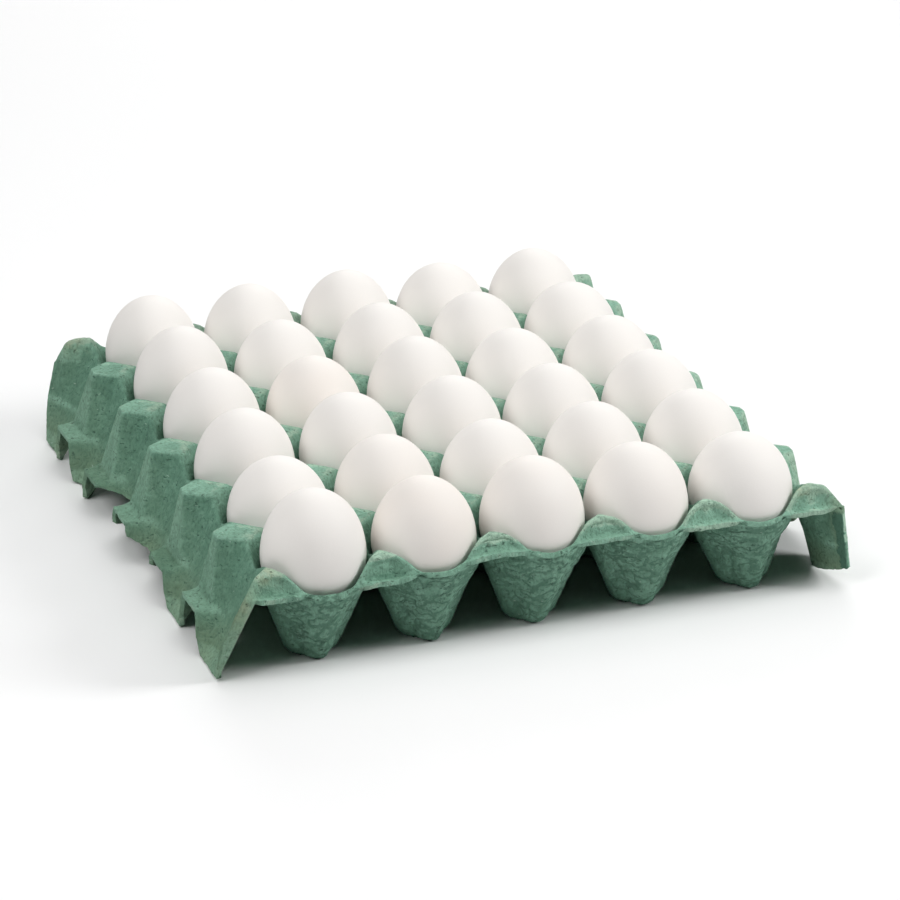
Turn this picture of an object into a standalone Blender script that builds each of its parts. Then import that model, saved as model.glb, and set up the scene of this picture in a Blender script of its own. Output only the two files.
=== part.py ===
"""A moulded-pulp egg tray of thirty cells, open on top, with an egg standing in every cell.

+X runs along the rows of five cells, +Y along the columns of six, +Z is up. The origin lies on the
surface that the tray stands on, under the middle of the tray. Lengths are metres.
"""

import math

import bmesh
import bpy

MM = 0.001

# The grid of cells
COLUMNS = 5
ROWS = 6
PITCH_X = 50.25 * MM
PITCH_Y = 47.56 * MM
HALF_X = PITCH_X / 2
HALF_Y = PITCH_Y / 2
EDGE_Y = ROWS * HALF_Y  # the two long edges are cut straight across here
EDGE_POST_X = COLUMNS * HALF_X  # the outermost posts stand on this line

# The pulp wall; every height below is that of its upper, egg side
WALL = 2.2 * MM
FLAT_BELOW = 0.4 * MM  # whatever comes this near the ground is pressed flat onto it
POST_TOP = 50.0 * MM
POST_REACH_X = 11.5 * MM  # half the diagonals of a post's diamond-shaped top
POST_REACH_Y = 10.5 * MM
SADDLE_X = 41.5 * MM  # the low ridge between two cells that are neighbours in X
SADDLE_Y = 38.5 * MM
CUP_FLOOR_RADIUS = 7.3 * MM
CUP_BELLY = (18.4 * MM, 27.0 * MM)  # radius and height where the cup's wall steepens

# The front row's cups lean: how far their floors have moved in +X, column by column
FRONT_LEAN = tuple(shift * MM for shift in (-0.8, 0.3, -0.6, 0.7, 2.9))

# The cut edges at the front and the back, where a pointed gable stands in place of each post
RIM_BACK = 40.0 * MM
# The front edge's heights, wavy, from the left corner: corner, gable, egg, gable, egg ... gable, corner
RIM_FRONT_MM = (40.4, 39.2, 38.0, 39.3, 41.2, 44.4, 42.2, 43.4, 43.2, 41.8, 41.8, 41.0, 41.0)
RIM_FRONT = tuple(height * MM for height in RIM_FRONT_MM)
RIM_CRADLE = 9.5 * MM  # half the width of the rim's level stretch below an egg
GABLE_TOP = 49.0 * MM
GABLE_HALF_WIDTH = 5.5 * MM
GABLE_SETBACK = 5.7 * MM
RIM_CORNER_X = 140.0 * MM

# The side walls: each level of a column is (|x|, distance in Y from the post, height)
SIDE_SADDLE = (127.1 * MM, 43.5 * MM)
WALL_AT_POST = (
    (136.6 * MM, 3.0 * MM, 50.0 * MM),
    (141.5 * MM, 9.0 * MM, 21.0 * MM),
    (149.0 * MM, 9.0 * MM, 20.5 * MM),
    (149.5 * MM, 12.0 * MM, 9.0 * MM),
    (148.7 * MM, 14.5 * MM, 1.2 * MM),
)
WALL_AT_FLANK = (
    (EDGE_POST_X, POST_REACH_Y, POST_TOP),
    (138.0 * MM, 15.0 * MM, 21.0 * MM),
    (142.5 * MM, 16.5 * MM, 14.0 * MM),
    (145.2 * MM, 17.5 * MM, 7.0 * MM),
    (148.5 * MM, 18.5 * MM, 1.2 * MM),
)
WALL_AT_CELL = (
    (SIDE_SADDLE[0], HALF_Y, SIDE_SADDLE[1]),
    (136.5 * MM, HALF_Y, 21.0 * MM),
    (140.0 * MM, HALF_Y, 13.0 * MM),
    (143.5 * MM, HALF_Y, 6.5 * MM),
    (148.3 * MM, HALF_Y, 1.2 * MM),
)
WALL_BY_THE_CUT = (
    (EDGE_POST_X, POST_REACH_Y, POST_TOP),
    (138.5 * MM, 12.0 * MM, 21.0 * MM),
    (143.0 * MM, 12.0 * MM, 14.0 * MM),
    (146.0 * MM, 12.0 * MM, 8.0 * MM),
    (148.8 * MM, 11.0 * MM, 1.2 * MM),
)
WALL_AT_THE_CUT = (
    (RIM_CORNER_X, 0.0, RIM_FRONT[0]),
    (143.0 * MM, 0.0, 21.0 * MM),
    (146.0 * MM, 0.0, 14.5 * MM),
    (148.3 * MM, 0.0, 9.5 * MM),
    (149.8 * MM, 0.0, 5.0 * MM),
)
# The same two columns at the back, where the corner stands straighter
BACK_BY_THE_CUT = (
    (EDGE_POST_X, POST_REACH_Y, POST_TOP),
    (143.0 * MM, 11.0 * MM, 21.0 * MM),
    (145.5 * MM, 11.0 * MM, 14.0 * MM),
    (147.5 * MM, 11.0 * MM, 8.0 * MM),
    (149.0 * MM, 11.0 * MM, 1.2 * MM),
)
BACK_AT_THE_CUT = (
    (RIM_CORNER_X + 2.0 * MM, 0.0, RIM_BACK),
    (147.3 * MM, 0.0, 21.0 * MM),
    (148.2 * MM, 0.0, 14.0 * MM),
    (148.8 * MM, 0.0, 8.0 * MM),
    (149.0 * MM, 0.0, 2.0 * MM),
)
# The front right foot, which is squeezed in and torn off short
TORN_AT_CELL = (
    (SIDE_SADDLE[0], HALF_Y, SIDE_SADDLE[1]),
    (134.7 * MM, HALF_Y, 21.0 * MM),
    (137.0 * MM, HALF_Y, 13.0 * MM),
    (139.0 * MM, HALF_Y, 6.5 * MM),
    (140.5 * MM, HALF_Y, 2.8 * MM),
)
TORN_BY_THE_CUT = (
    (EDGE_POST_X, POST_REACH_Y, POST_TOP),
    (137.5 * MM, 12.0 * MM, 21.0 * MM),
    (140.0 * MM, 12.0 * MM, 15.0 * MM),
    (141.5 * MM, 12.0 * MM, 10.0 * MM),
    (143.0 * MM, 12.0 * MM, 6.0 * MM),
)
TORN_AT_THE_CUT = (
    (RIM_CORNER_X, 0.0, RIM_FRONT[-1]),
    (143.2 * MM, 0.0, 22.0 * MM),
    (144.0 * MM, 0.0, 16.0 * MM),
    (144.6 * MM, 0.0, 12.0 * MM),
    (145.2 * MM, 0.0, 9.4 * MM),
)
LEDGE_LEVEL = 2
# Worn skirt feet: (side, row) and the share that is left
SHORT_FEET = {(-1, 2): 0.42, (-1, 3): 0.5, (1, 1): 0.7}
# How the left side has sagged: corner of the grid, how far its ledge stands further out, and lower
SAGGED_LEDGES = {2: (0.0, 3.0 * MM), 3: (3.0 * MM, 1.0 * MM), 4: (3.4 * MM, 2.5 * MM), 5: (3.0 * MM, 0.0)}

# The eggs, blunt end up, as letters for their lengths from the front row to the back, column by column
EGG_COLUMNS = ("facdgd", "dcdccd", "fcfgfe", "eeedeb", "bdedcd")
EGG_LENGTHS = {letter: (55 + step) * MM for letter, step in zip("abcdefg", (0, 2.2, 3.2, 4, 4.8, 5.4, 6.5))}
EGG_WIDTH = 45.7 * MM
EGG_TIP_HEIGHT = 14.5 * MM
EGG_POINTEDNESS = 0.25
EGG_SEGMENTS = 12
EGG_RINGS = 7


def cell_centre(column, row):
    """(x, y) of the middle of a cell."""
    return (column - (COLUMNS - 1) / 2) * PITCH_X, (row - (ROWS - 1) / 2) * PITCH_Y


def make_material(name, colour, roughness):
    """A Principled material of one plain colour."""
    material = bpy.data.materials.new(name)
    material.use_nodes = True
    shader = material.node_tree.nodes["Principled BSDF"]
    shader.inputs["Base Color"].default_value = (*colour, 1.0)
    shader.inputs["Roughness"].default_value = roughness
    shader.inputs["Metallic"].default_value = 0.0
    material.diffuse_color = (*colour, 1.0)
    return material


def rim_height(x, end):
    """The height of the cut edge at x, on the front (end = -1) or the back."""
    if end > 0:
        return RIM_BACK
    stations = [-RIM_CORNER_X, *(k * HALF_X for k in range(-COLUMNS, COLUMNS + 1)), RIM_CORNER_X]
    for k, (left, right) in enumerate(zip(stations, stations[1:])):
        if x <= right:
            return RIM_FRONT[k] + (RIM_FRONT[k + 1] - RIM_FRONT[k]) * (x - left) / (right - left)
    return RIM_FRONT[-1]


def brim_of_cell(column, row):
    """The twelve points round a cell where its wall ends, anticlockwise from +X, relative to the cell's middle."""
    quarter = [
        (HALF_X, 0.0, SADDLE_X),
        (HALF_X, HALF_Y - POST_REACH_Y, POST_TOP),
        (HALF_X - POST_REACH_X, HALF_Y, POST_TOP),
        (0.0, HALF_Y, SADDLE_Y),
    ]
    brim = list(quarter)
    brim += [(-x, y, z) for x, y, z in reversed(quarter[:3])]
    brim += [(-x, -y, z) for x, y, z in quarter[1:]]
    brim += [(x, -y, z) for x, y, z in (quarter[2], quarter[1])]
    side_reach = SIDE_SADDLE[0] - EDGE_POST_X + HALF_X
    if column == 0:
        brim[6] = (-side_reach, 0.0, SIDE_SADDLE[1])
    if column == COLUMNS - 1:
        brim[0] = (side_reach, 0.0, SIDE_SADDLE[1])
    middle = cell_centre(column, row)[0]
    if row == 0:
        brim[8:11] = [(x, -HALF_Y, rim_height(middle + x, -1)) for x in (-RIM_CRADLE, 0.0, RIM_CRADLE)]
    if row == ROWS - 1:
        brim[2:5] = [(x, HALF_Y, rim_height(middle + x, 1)) for x in (RIM_CRADLE, 0.0, -RIM_CRADLE)]
    return brim


def gable_point(side, end):
    """The shoulder of a gable, relative to a cell's middle, on its side (-1 or 1) of the end row's outer edge."""
    return side * (HALF_X - GABLE_HALF_WIDTH), end * (HALF_Y - GABLE_SETBACK), GABLE_TOP


def cell_faces(column, row):
    """The cup of one cell: its round floor, its lower wall, and the upper wall out to the brim."""
    brim = brim_of_cell(column, row)
    angles = [math.atan2(y, x) for x, y, _ in brim]
    radius, height = CUP_BELLY
    lean = FRONT_LEAN[column] if row == 0 else 0.0
    floor = [(lean + CUP_FLOOR_RADIUS * math.cos(a), CUP_FLOOR_RADIUS * math.sin(a), WALL) for a in angles]
    belly = [(radius * math.cos(a), radius * math.sin(a), height) for a in angles]
    shoulders = {}
    if row == 0:
        shoulders = {7: gable_point(-1, -1), 10: gable_point(1, -1)}
    if row == ROWS - 1:
        shoulders = {1: gable_point(1, 1), 4: gable_point(-1, 1)}
    faces = [floor]
    for k in range(len(brim)):
        after = (k + 1) % len(brim)
        faces.append([floor[k], belly[k], belly[after], floor[after]])
        shoulder = [shoulders[k]] if k in shoulders else []
        faces.append([belly[k], brim[k], *shoulder, brim[after], belly[after]])
    x, y = cell_centre(column, row)
    return [[(x + px, y + py, pz) for px, py, pz in face] for face in faces]


def post_top(i, j):
    """The flat top of the post at corner (i, j) of the grid, cut off square where it faces outwards."""
    x, y = (i - COLUMNS / 2) * PITCH_X, (j - ROWS / 2) * PITCH_Y
    reach, cut_x, cut_y = POST_REACH_X, WALL_AT_POST[0][0], WALL_AT_POST[0][1]
    right = [(cut_x, y - cut_y), (cut_x, y + cut_y)] if i == COLUMNS else [(x + reach, y)]
    left = [(-cut_x, y + cut_y), (-cut_x, y - cut_y)] if i == 0 else [(x - reach, y)]
    outline = [(x, y - POST_REACH_Y), *right, (x, y + POST_REACH_Y), *left]
    return [(px, py, POST_TOP) for px, py in outline]


def gable_faces(i, end):
    """The gable at corner i of the front (end = -1) or back edge: a small flat top and a slope down to the rim."""
    x = (i - COLUMNS / 2) * PITCH_X
    back = (x, end * (EDGE_Y - POST_REACH_Y), POST_TOP)
    left = (x - GABLE_HALF_WIDTH, end * (EDGE_Y - GABLE_SETBACK), GABLE_TOP)
    right = (x + GABLE_HALF_WIDTH, end * (EDGE_Y - GABLE_SETBACK), GABLE_TOP)
    corner = WALL_AT_THE_CUT[0][0] if end < 0 else BACK_AT_THE_CUT[0][0]
    rim_left = -corner if i == 0 else x - HALF_X + RIM_CRADLE
    rim_right = corner if i == COLUMNS else x + HALF_X - RIM_CRADLE
    slope = [left, *[(px, end * EDGE_Y, rim_height(px, end)) for px in (rim_left, x, rim_right)], right]
    faces = [[back, left, right], slope]
    return faces if end < 0 else [face[::-1] for face in faces]


def side_column(levels, side, post, towards, share=1.0):
    """One column of points down a side wall, on one side of a post; share is how much is left of the foot."""
    swell, drop = SAGGED_LEDGES.get(post, (0.0, 0.0)) if side < 0 and levels is WALL_AT_POST else (0.0, 0.0)
    post_y = (post - ROWS / 2) * PITCH_Y
    points = []
    for index, (x, offset, height) in enumerate(levels):
        if index > LEDGE_LEVEL:
            start = levels[LEDGE_LEVEL]
            x, offset, height = (a + (b - a) * share for a, b in zip(start, (x, offset, height)))
        if index > 0:
            x += swell
        if 0 < index <= LEDGE_LEVEL:
            height -= drop
        points.append((side * x, post_y + towards * offset, height))
    return points


def strip(left, right, side, levels):
    """The quads between two columns of a side wall, over the given number of levels."""
    faces = [[left[k], left[k + 1], right[k + 1], right[k]] for k in range(levels)]
    return faces if side < 0 else [face[::-1] for face in faces]


def side_wall_columns(side, row):
    """The five columns of a side wall along one cell, from the post behind it to the post in front."""
    share = SHORT_FEET.get((side, row), 1.0)
    torn = side > 0 and row == 0
    behind = (BACK_AT_THE_CUT, BACK_BY_THE_CUT) if row == ROWS - 1 else (WALL_AT_POST, WALL_AT_FLANK)
    ahead = (WALL_AT_FLANK, WALL_AT_POST)
    if row == 0:
        ahead = (TORN_BY_THE_CUT, TORN_AT_THE_CUT) if torn else (WALL_BY_THE_CUT, WALL_AT_THE_CUT)
    columns = [side_column(levels, side, row + 1, -1, share) for levels in behind]
    columns.append(side_column(TORN_AT_CELL if torn else WALL_AT_CELL, side, row + 1, -1, share))
    return columns + [side_column(levels, side, row, 1, share) for levels in ahead]


def side_wall_faces(side):
    """One side wall: a flat facet and a ledge at each post, and between posts a hollow that runs down to a foot."""
    faces = []
    for row in range(ROWS):
        columns = side_wall_columns(side, row)
        strips = [strip(left, right, side, len(left) - 1) for left, right in zip(columns, columns[1:])]
        # The top face beside a cut edge also takes in the shoulder of the corner's gable
        for end, end_row, made in ((1, ROWS - 1, strips[0]), (-1, 0, strips[-1])):
            if row == end_row:
                shoulder = (side * (EDGE_POST_X + GABLE_HALF_WIDTH), end * (EDGE_Y - GABLE_SETBACK), GABLE_TOP)
                made[0].insert(0 if side > 0 else len(made[0]), shoulder)
        faces += [face for made in strips for face in made]
        if row > 0:
            faces += strip(*(side_column(WALL_AT_POST, side, row, towards) for towards in (1, -1)), side, LEDGE_LEVEL)
    return faces


def mesh_from_faces(name, faces):
    """A mesh of the given faces, welded where their points meet."""
    mesh = bpy.data.meshes.new(name)
    shape = bmesh.new()
    for face in faces:
        shape.faces.new([shape.verts.new(point) for point in face])
    bmesh.ops.remove_doubles(shape, verts=shape.verts[:], dist=0.01 * MM)
    shape.to_mesh(mesh)
    shape.free()
    return mesh


def add_object(name, mesh, material, collection):
    """An object of this mesh, with one material, in the collection."""
    obj = bpy.data.objects.new(name, mesh)
    obj.data.materials.append(material)
    collection.objects.link(obj)
    return obj


def make_tray(material, collection):
    """The tray: one sheet of pulp, given its thickness on the side away from the eggs."""
    faces = []
    for column in range(COLUMNS):
        for row in range(ROWS):
            faces += cell_faces(column, row)
    for i in range(COLUMNS + 1):
        faces += [post_top(i, j) for j in range(1, ROWS)]
        faces += gable_faces(i, -1) + gable_faces(i, 1)
    faces += side_wall_faces(-1) + side_wall_faces(1)
    tray = add_object("tray", mesh_from_faces("sheet", faces), material, collection)
    thickness = tray.modifiers.new("pulp wall", "SOLIDIFY")
    thickness.thickness = WALL
    thickness.offset = -1.0
    thickness.use_even_offset = True
    thickness.use_quality_normals = True
    thick = tray.evaluated_get(bpy.context.evaluated_depsgraph_get())
    tray.data = bpy.data.meshes.new_from_object(thick)
    tray.modifiers.clear()
    for vertex in tray.data.vertices:
        if vertex.co.z < FLAT_BELOW:
            vertex.co.z = 0.0


def egg_profile(length):
    """Points (x, z) down the outside of an egg from its blunt top to its pointed tip, the tip at z = 0."""
    half = length / 2
    points = []
    for ring in range(EGG_RINGS + 1):
        along = -math.cos(math.pi * ring / EGG_RINGS)
        radius = math.sqrt(max(0.0, 1 - along**2) / (1 + EGG_POINTEDNESS * along))
        points.append((radius, half * (1 - along)))
    widest = max(radius for radius, _ in points)
    return [(EGG_WIDTH / 2 * radius / widest, z) for radius, z in points]


def make_egg_mesh(letter, length):
    """The half outline of an egg, as a line of edges that a Screw modifier turns about Z."""
    mesh = bpy.data.meshes.new(f"egg_outline_{letter}")
    outline = [(x, 0.0, z) for x, z in egg_profile(length)]
    mesh.from_pydata(outline, [(k, k + 1) for k in range(len(outline) - 1)], [])
    return mesh


def make_eggs(material, collection):
    """Thirty eggs of their own lengths, each standing on its pointed tip in its cup."""
    outlines = {letter: make_egg_mesh(letter, length) for letter, length in EGG_LENGTHS.items()}
    for mesh in outlines.values():
        mesh.materials.append(material)
    for column, letters in enumerate(EGG_COLUMNS):
        for row, letter in enumerate(letters):
            egg = bpy.data.objects.new(f"egg_{column + 1}_{row + 1}", outlines[letter])
            collection.objects.link(egg)
            x, y = cell_centre(column, row)
            egg.location = (x, y, EGG_TIP_HEIGHT)
            turn = egg.modifiers.new("turn", "SCREW")
            turn.angle = 2 * math.pi
            turn.steps = EGG_SEGMENTS
            turn.render_steps = EGG_SEGMENTS
            turn.use_merge_vertices = True
            turn.merge_threshold = 0.0001
            turn.use_smooth_shade = True


def main():
    for obj in list(bpy.data.objects):
        bpy.data.objects.remove(obj)
    collection = bpy.data.collections.new("egg_tray_with_eggs")
    bpy.context.scene.collection.children.link(collection)
    make_tray(make_material("moulded_pulp", (0.16, 0.36, 0.24), 0.95), collection)
    make_eggs(make_material("eggshell", (0.83, 0.80, 0.76), 0.55), collection)


main()
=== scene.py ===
import math
import random
import bmesh
import bpy
from mathutils import Matrix, Vector, noise


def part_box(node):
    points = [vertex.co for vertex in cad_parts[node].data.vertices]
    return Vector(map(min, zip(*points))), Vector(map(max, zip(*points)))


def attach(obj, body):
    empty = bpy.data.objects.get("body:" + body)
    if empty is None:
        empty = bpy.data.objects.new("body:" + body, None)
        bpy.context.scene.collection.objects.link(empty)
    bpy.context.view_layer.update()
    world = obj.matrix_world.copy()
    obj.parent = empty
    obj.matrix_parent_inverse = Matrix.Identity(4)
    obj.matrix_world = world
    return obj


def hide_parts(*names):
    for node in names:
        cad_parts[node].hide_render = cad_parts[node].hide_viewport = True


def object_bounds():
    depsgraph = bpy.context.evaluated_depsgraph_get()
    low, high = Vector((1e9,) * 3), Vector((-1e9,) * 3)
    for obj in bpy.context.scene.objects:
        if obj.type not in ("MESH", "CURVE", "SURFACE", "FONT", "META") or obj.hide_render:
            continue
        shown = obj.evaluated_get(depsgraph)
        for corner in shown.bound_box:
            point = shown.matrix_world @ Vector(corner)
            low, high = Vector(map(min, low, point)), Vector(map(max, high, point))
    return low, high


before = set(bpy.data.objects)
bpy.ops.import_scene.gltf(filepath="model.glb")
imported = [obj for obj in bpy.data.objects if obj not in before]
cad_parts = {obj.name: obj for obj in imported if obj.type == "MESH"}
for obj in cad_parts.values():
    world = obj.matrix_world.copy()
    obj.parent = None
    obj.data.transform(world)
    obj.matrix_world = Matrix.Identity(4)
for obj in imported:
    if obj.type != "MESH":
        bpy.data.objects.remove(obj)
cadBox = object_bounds()

mm = 0.001
print("frame loaded")


def mix(a, b, t):
    return tuple(p + (q - p) * t for p, q in zip(a, b))


def alongPath(points, t):  # the point at a share t of the number of stretches
    place = min(max(t, 0.0), 1.0) * (len(points) - 1)
    k = min(int(place), len(points) - 2)
    return mix(points[k], points[k + 1], place - k)


def alongLength(points, t):  # the point at a share t of the length
    steps = [math.dist(a, b) for a, b in zip(points, points[1:])]
    left = min(max(t, 0.0), 1.0) * sum(steps)
    for k, step in enumerate(steps):
        if left <= step or k == len(steps) - 1:
            return mix(points[k], points[k + 1], left / step if step else 0.0)
        left -= step


def smoothStep(low, high, value):  # also falls, where low is the larger
    t = min(max((value - low) / (high - low), 0.0), 1.0)
    return t * t * (3 - 2 * t)


def hump(value, middle, width):
    return math.exp(-((value - middle) / width) ** 2)


def addPatch(bm, across, up, pointAt):  # a grid whose corners are moved to pointAt(i, j)
    made = bmesh.ops.create_grid(bm, x_segments=across, y_segments=up, size=1.0)
    for vert in made["verts"]:
        i = round((vert.co.x + 1) / 2 * across)
        j = round((vert.co.y + 1) / 2 * up)
        vert.co = pointAt(i, j)
    return made["verts"]


def addObject(name, data):
    obj = bpy.data.objects.new(name, data)
    bpy.context.scene.collection.objects.link(obj)
    return obj


def newObject(name, bm, materials):
    mesh = bpy.data.meshes.new(name)
    bmesh.ops.scale(bm, vec=(mm, mm, mm), verts=bm.verts)
    bm.to_mesh(mesh)
    bm.free()
    for material in materials:
        mesh.materials.append(material)
    mesh.polygons.foreach_set("use_smooth", [True] * len(mesh.polygons))
    return addObject(name, mesh)


def addNode(tree, kind, **values):
    node = tree.nodes.new(kind)
    for key, value in values.items():
        if hasattr(node, key):
            setattr(node, key, value)
        else:
            node.inputs[key.replace("_", " ")].default_value = value
    return node


def addRamp(tree, source, stops):
    node = tree.nodes.new("ShaderNodeValToRGB")
    ramp = node.color_ramp
    while len(ramp.elements) < len(stops):
        ramp.elements.new(0.5)
    for element, (place, value) in zip(ramp.elements, stops):
        element.position = place
        element.color = (*value, 1.0) if isinstance(value, tuple) else (value, value, value, 1.0)
    tree.links.new(source, node.inputs["Fac"])
    return node.outputs["Color"]


def feed(tree, socket, value):
    if isinstance(value, bpy.types.NodeSocket):
        tree.links.new(value, socket)
    else:
        socket.default_value = (*value, 1.0) if isinstance(value, tuple) else value


def addMix(tree, factor, first, second):
    node = addNode(tree, "ShaderNodeMix", data_type="RGBA")
    feed(tree, node.inputs[0], factor)
    feed(tree, node.inputs[6], first)
    feed(tree, node.inputs[7], second)
    return node.outputs[2]


def addMath(tree, operation, first, second):
    node = addNode(tree, "ShaderNodeMath", operation=operation)
    feed(tree, node.inputs[0], first)
    feed(tree, node.inputs[1], second)
    return node.outputs[0]


def addProduct(tree, first, *others):
    for other in others:
        first = addMath(tree, "MULTIPLY", first, other)
    return first


def stretched(tree, vector, scale):
    mapping = addNode(tree, "ShaderNodeMapping", Scale=scale)
    tree.links.new(vector, mapping.inputs["Vector"])
    return mapping.outputs[0]


def addNoise(tree, coords, scale, detail, roughness=0.55, stretch=(1, 1, 1)):
    node = addNode(tree, "ShaderNodeTexNoise", Scale=scale, Detail=detail, Roughness=roughness)
    tree.links.new(stretched(tree, coords, stretch), node.inputs["Vector"])
    return node.outputs["Fac"]


def addVoronoi(tree, vector, scale, feature="F1"):
    node = addNode(tree, "ShaderNodeTexVoronoi", feature=feature, Scale=scale)
    tree.links.new(vector, node.inputs["Vector"])
    return node.outputs["Distance"]


def readAttribute(tree, name):
    return addNode(tree, "ShaderNodeAttribute", attribute_name=name).outputs["Fac"]


def startMaterial(name):
    material = bpy.data.materials.new(name)
    material.use_nodes = True
    tree = material.node_tree
    coords = tree.nodes.new("ShaderNodeTexCoord").outputs["Object"]
    return material, tree, tree.nodes["Principled BSDF"], coords


def finishMaterial(tree, shader, look, colour, height):
    tree.links.new(colour, shader.inputs["Base Color"])
    shader.inputs["Roughness"].default_value = look["roughness"]
    shader.inputs["Specular IOR Level"].default_value = look["specular"]
    strength, depth = look["relief"]
    bump = addNode(tree, "ShaderNodeBump", Strength=strength, Distance=depth)
    tree.links.new(height, bump.inputs["Height"])
    tree.links.new(bump.outputs[0], shader.inputs["Normal"])


pulpLook = {
    "deep": (0.070, 0.155, 0.108), "green": (0.132, 0.272, 0.192), "wornAndLit": (0.205, 0.382, 0.282),
    "pale": (0.250, 0.450, 0.338),
    "crown": (0.360, 0.530, 0.408),  # crests, paler partly from rubbing and partly as a painted highlight
    # pit is a near black, painted shade for fibre gaps, pits and creases
    "olive": (0.215, 0.285, 0.175), "tan": (0.420, 0.400, 0.240), "pit": (0.020, 0.050, 0.034),
    "fleck": (0.46, 0.60, 0.50),
    # deep green, where the tone falls in hollows and creases, is painted shade; the paler steps are partly
    # wear and partly painted highlight
    "wearAndLightSteps": ((0.05, "deep"), (0.40, "green"), (0.64, "wornAndLit"), (0.86, "pale"), (1.0, "crown")),
    "swings": {"broad": 0.34, "cloudy": 0.50, "streaks": 0.34, "ridge": 0.55},  # how far each moves the tone; the ridge swing is painted highlight where the sheet stands out and painted shade in hollows
    "cutEdgeTone": 0.10,  # a cut edge is this much paler
    "oliveWhere": ((0.25, 0.45), (0.7, 1.0)), "tanWhere": ((0.40, 0.2), (0.60, 0.9)),
    "fibreGaps": ((0.30, 0.35), (0.52, 0.0)), "pitShare": 0.65, "creaseShare": 0.5, "roughness": 0.95,
    "specular": 0.2,
    "relief": (0.8, 0.0007),  # strength, and depth in metres
}

pulpNoises = {  # scale, detail, roughness, stretch
    "broad": (45.0, 3.0),
    "cloudy": (210.0, 4.0, 0.62),
    "streaks": (300.0, 3.0, 0.6, (1.0, 1.0, 0.35)),
    "fibre": (900.0, 3.0, 0.6, (1.0, 1.0, 0.45)),
    "patches": (120.0, 2.0, 0.5, (1.0, 1.0, 1.6)),
    "broken": (620.0, 1.0, 0.5),
}

pulpMarks = {  # the ramps give a share against distance or noise
    "wobble": {"scale": 300.0, "pull": 0.004},
    "pits": {"scale": 420.0, "stretch": (0.8, 0.8, 1.6), "fade": ((0.10, 1.0), (0.32, 0.0)),
             "where": ((0.47, 0.0), (0.57, 1.0))},
    "creases": {"scale": 165.0, "stretch": (1.0, 1.0, 2.1), "fade": ((0.015, 1.0), (0.085, 0.0)),
                "where": ((0.49, 0.0), (0.57, 1.0)), "gaps": ((0.44, 0.0), (0.58, 1.0))},
    "wrinkles": {"scale": 165.0, "stretch": (0.9, 0.9, 1.5), "detail": 4.0, "roughness": 0.7,
                 "rise": ((0.0, 0.0), (0.06, 0.45), (0.22, 1.0)), "valley": ((0.05, 0.6), (0.26, 0.0))},
    "flecks": {"scale": 120.0, "stretch": (1.0, 0.7, 1.9), "fade": ((0.03, 0.55), (0.08, 0.0))},
}

pulpRelief = {
    "cloudy": 1.5, "fibre": 1.2, "everywhere": 0.75, "whereCoarse": 1.1, "wrinkles": 1.9, "pits": 0.6,
    "creases": 1.6,
}


def addPulpTone(tree, noises, atCutEdge):  # from deep green, at 0, to pale, at 1: deep in hollows as painted shade, pale on crests partly from rubbing and partly as a painted highlight
    tone = addMath(tree, "ADD", readAttribute(tree, "tone"), pulpLook["cutEdgeTone"] if atCutEdge else 0.0)
    sources = {**noises, "ridge": readAttribute(tree, "ridge")}
    for kind, share in pulpLook["swings"].items():
        swing = addProduct(tree, addMath(tree, "SUBTRACT", sources[kind], 0.5), share)
        tone = addMath(tree, "ADD", tone, swing)
    return tone


def addWobble(tree, coords):  # pulls the coordinates about, so that marks aren't regular
    wobble = addNode(tree, "ShaderNodeTexNoise", Scale=pulpMarks["wobble"]["scale"], Detail=2.0)
    pulled = addNode(tree, "ShaderNodeVectorMath", operation="SCALE", Scale=pulpMarks["wobble"]["pull"])
    moved = addNode(tree, "ShaderNodeVectorMath", operation="ADD")
    tree.links.new(coords, wobble.inputs["Vector"])
    tree.links.new(wobble.outputs["Color"], pulled.inputs[0])
    tree.links.new(coords, moved.inputs[0])
    tree.links.new(pulled.outputs[0], moved.inputs[1])
    return moved.outputs[0]


def addMarkCells(tree, vector, kind, feature="F1"):
    mark = pulpMarks[kind]
    return addVoronoi(tree, stretched(tree, vector, mark["stretch"]), mark["scale"], feature)


def addWrinkles(tree, vector):
    mark = pulpMarks["wrinkles"]
    node = addNode(tree, "ShaderNodeTexNoise", noise_type="RIDGED_MULTIFRACTAL", normalize=True,
                   Scale=mark["scale"], Detail=mark["detail"], Roughness=mark["roughness"])
    tree.links.new(stretched(tree, vector, mark["stretch"]), node.inputs["Vector"])
    return addRamp(tree, node.outputs["Fac"], mark["rise"])


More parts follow.
